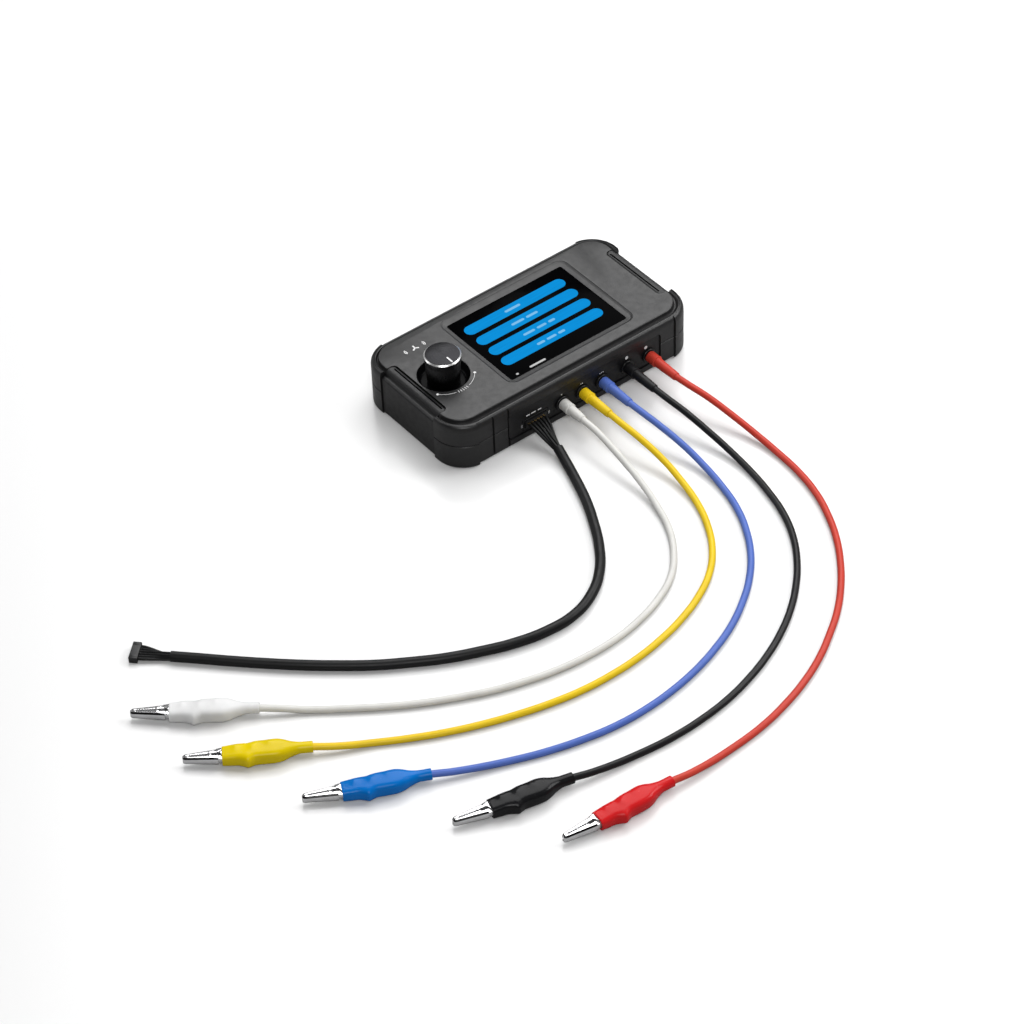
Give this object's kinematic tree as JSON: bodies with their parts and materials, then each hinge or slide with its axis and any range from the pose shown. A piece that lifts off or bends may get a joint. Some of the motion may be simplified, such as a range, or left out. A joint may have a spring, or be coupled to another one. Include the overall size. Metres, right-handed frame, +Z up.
{
  "type": "lcr meter",
  "caption": "Handheld component meter with a colour screen, a push-and-turn knob, colour-coded clip leads in its side sockets and a sensor cable.",
  "frame": {"origin": "bottom centre of the meter case, on the surface that it lies on", "axes": "+X along the case, from the knob end to the other end; +Y across the case, away from the socket wall; +Z up, out of the screen"},
  "size_m": [0.2875, 0.2408, 0.0318],
  "materials": {
    "case_shell": "dark grey fine-textured moulded plastic",
    "case_trim": "black fine-textured moulded plastic",
    "plated_steel": "plain plated steel",
    "screen_window": "gloss black printed window",
    "display_panel": "grey display module with a metal bezel",
    "circuit_board": "green solder mask",
    "switch_button": "off-white switch button",
    "knob_metal": "black anodised, spun top, bright cut edge",
    "clip_steel": "bright stamped sheet",
    "connector_black": "black moulded connector",
    "sensor_sleeve": "soft black cable sleeve",
    "plug_white": "white moulded plastic",
    "cord_white": "white soft wire insulation",
    "boot_white": "white soft vinyl sleeve",
    "plug_yellow": "yellow moulded plastic",
    "cord_yellow": "yellow soft wire insulation",
    "boot_yellow": "yellow soft vinyl sleeve",
    "plug_blue": "blue moulded plastic",
    "cord_blue": "blue soft wire insulation",
    "boot_blue": "blue soft vinyl sleeve",
    "plug_black": "black moulded plastic",
    "cord_black": "black soft wire insulation",
    "boot_black": "black soft vinyl sleeve",
    "plug_red": "red moulded plastic",
    "cord_red": "red soft wire insulation",
    "boot_red": "red soft vinyl sleeve"
  },
  "bodies": {
    "root": {"top_cover": "case_shell", "bottom_cover": "case_shell", "end_panel_left": "case_trim", "end_panel_right": "case_trim", "socket_panel": "case_trim", "case_screw_1": "plated_steel", "case_screw_2": "plated_steel", "case_screw_3": "plated_steel", "case_screw_4": "plated_steel", "screen_lens": "screen_window", "lcd_module": "display_panel", "main_board": "circuit_board", "encoder_body": "plated_steel", "jack_white": "connector_black", "jack_yellow": "connector_black", "jack_blue": "connector_black", "jack_black": "connector_black", "jack_red": "connector_black", "sensor_socket": "connector_black", "lead_plug_white": "plug_white", "lead_white": "cord_white", "clip_boot_white": "boot_white", "clip_jaw_fixed_white": "clip_steel", "clip_rivet_white": "clip_steel", "clip_spring_white": "clip_steel", "lead_plug_yellow": "plug_yellow", "lead_yellow": "cord_yellow", "clip_boot_yellow": "boot_yellow", "clip_jaw_fixed_yellow": "clip_steel", "clip_rivet_yellow": "clip_steel", "clip_spring_yellow": "clip_steel", "lead_plug_blue": "plug_blue", "lead_blue": "cord_blue", "clip_boot_blue": "boot_blue", "clip_jaw_fixed_blue": "clip_steel", "clip_rivet_blue": "clip_steel", "clip_spring_blue": "clip_steel", "lead_plug_black": "plug_black", "lead_black": "cord_black", "clip_boot_black": "boot_black", "clip_jaw_fixed_black": "clip_steel", "clip_rivet_black": "clip_steel", "clip_spring_black": "clip_steel", "lead_plug_red": "plug_red", "lead_red": "cord_red", "clip_boot_red": "boot_red", "clip_jaw_fixed_red": "clip_steel", "clip_rivet_red": "clip_steel", "clip_spring_red": "clip_steel", "sensor_plug": "connector_black", "sensor_cable": "sensor_sleeve", "sensor_end_plug": "connector_black"},
    "push_switch": {"switch_plunger": "switch_button"},
    "knob": {"encoder_shaft": "plated_steel", "knob": "knob_metal"},
    "jaw_white": {"clip_jaw_moving_white": "clip_steel"},
    "jaw_yellow": {"clip_jaw_moving_yellow": "clip_steel"},
    "jaw_blue": {"clip_jaw_moving_blue": "clip_steel"},
    "jaw_black": {"clip_jaw_moving_black": "clip_steel"},
    "jaw_red": {"clip_jaw_moving_red": "clip_steel"}
  },
  "joints": [
    {"name": "knob_press", "type": "slide", "parent": "root", "child": "push_switch", "axis": [0, 0, -1], "range_m": [0, 0.0005], "stiffness_N_per_m": 2000, "springref_m": -0.0005},
    {"name": "knob_turn", "type": "hinge", "parent": "push_switch", "child": "knob", "pos_m": [-0.0414, 0.0003, 0.02], "axis": [0, 0, 1], "continuous": true},
    {"name": "clip_open_white", "type": "hinge", "parent": "root", "child": "jaw_white", "pos_m": [-0.21521, -0.06598, 0.0031], "axis": [0, 0, 1], "range_deg": [0, 20], "stiffness_Nm_per_rad": 0.02, "springref_deg": -20.05},
    {"name": "clip_open_yellow", "type": "hinge", "parent": "root", "child": "jaw_yellow", "pos_m": [-0.2128, -0.09562, 0.0031], "axis": [0, 0, 1], "range_deg": [0, 20], "stiffness_Nm_per_rad": 0.02, "springref_deg": -20.05},
    {"name": "clip_open_blue", "type": "hinge", "parent": "root", "child": "jaw_blue", "pos_m": [-0.19017, -0.1362, 0.0031], "axis": [0, 0, 1], "range_deg": [0, 20], "stiffness_Nm_per_rad": 0.02, "springref_deg": -20.05},
    {"name": "clip_open_black", "type": "hinge", "parent": "root", "child": "jaw_black", "pos_m": [-0.15519, -0.1756, 0.0031], "axis": [0, 0, 1], "range_deg": [0, 20], "stiffness_Nm_per_rad": 0.02, "springref_deg": -20.05},
    {"name": "clip_open_red", "type": "hinge", "parent": "root", "child": "jaw_red", "pos_m": [-0.13015, -0.20366, 0.0031], "axis": [0, 0, 1], "range_deg": [0, 20], "stiffness_Nm_per_rad": 0.02, "springref_deg": -20.05}
  ]
}
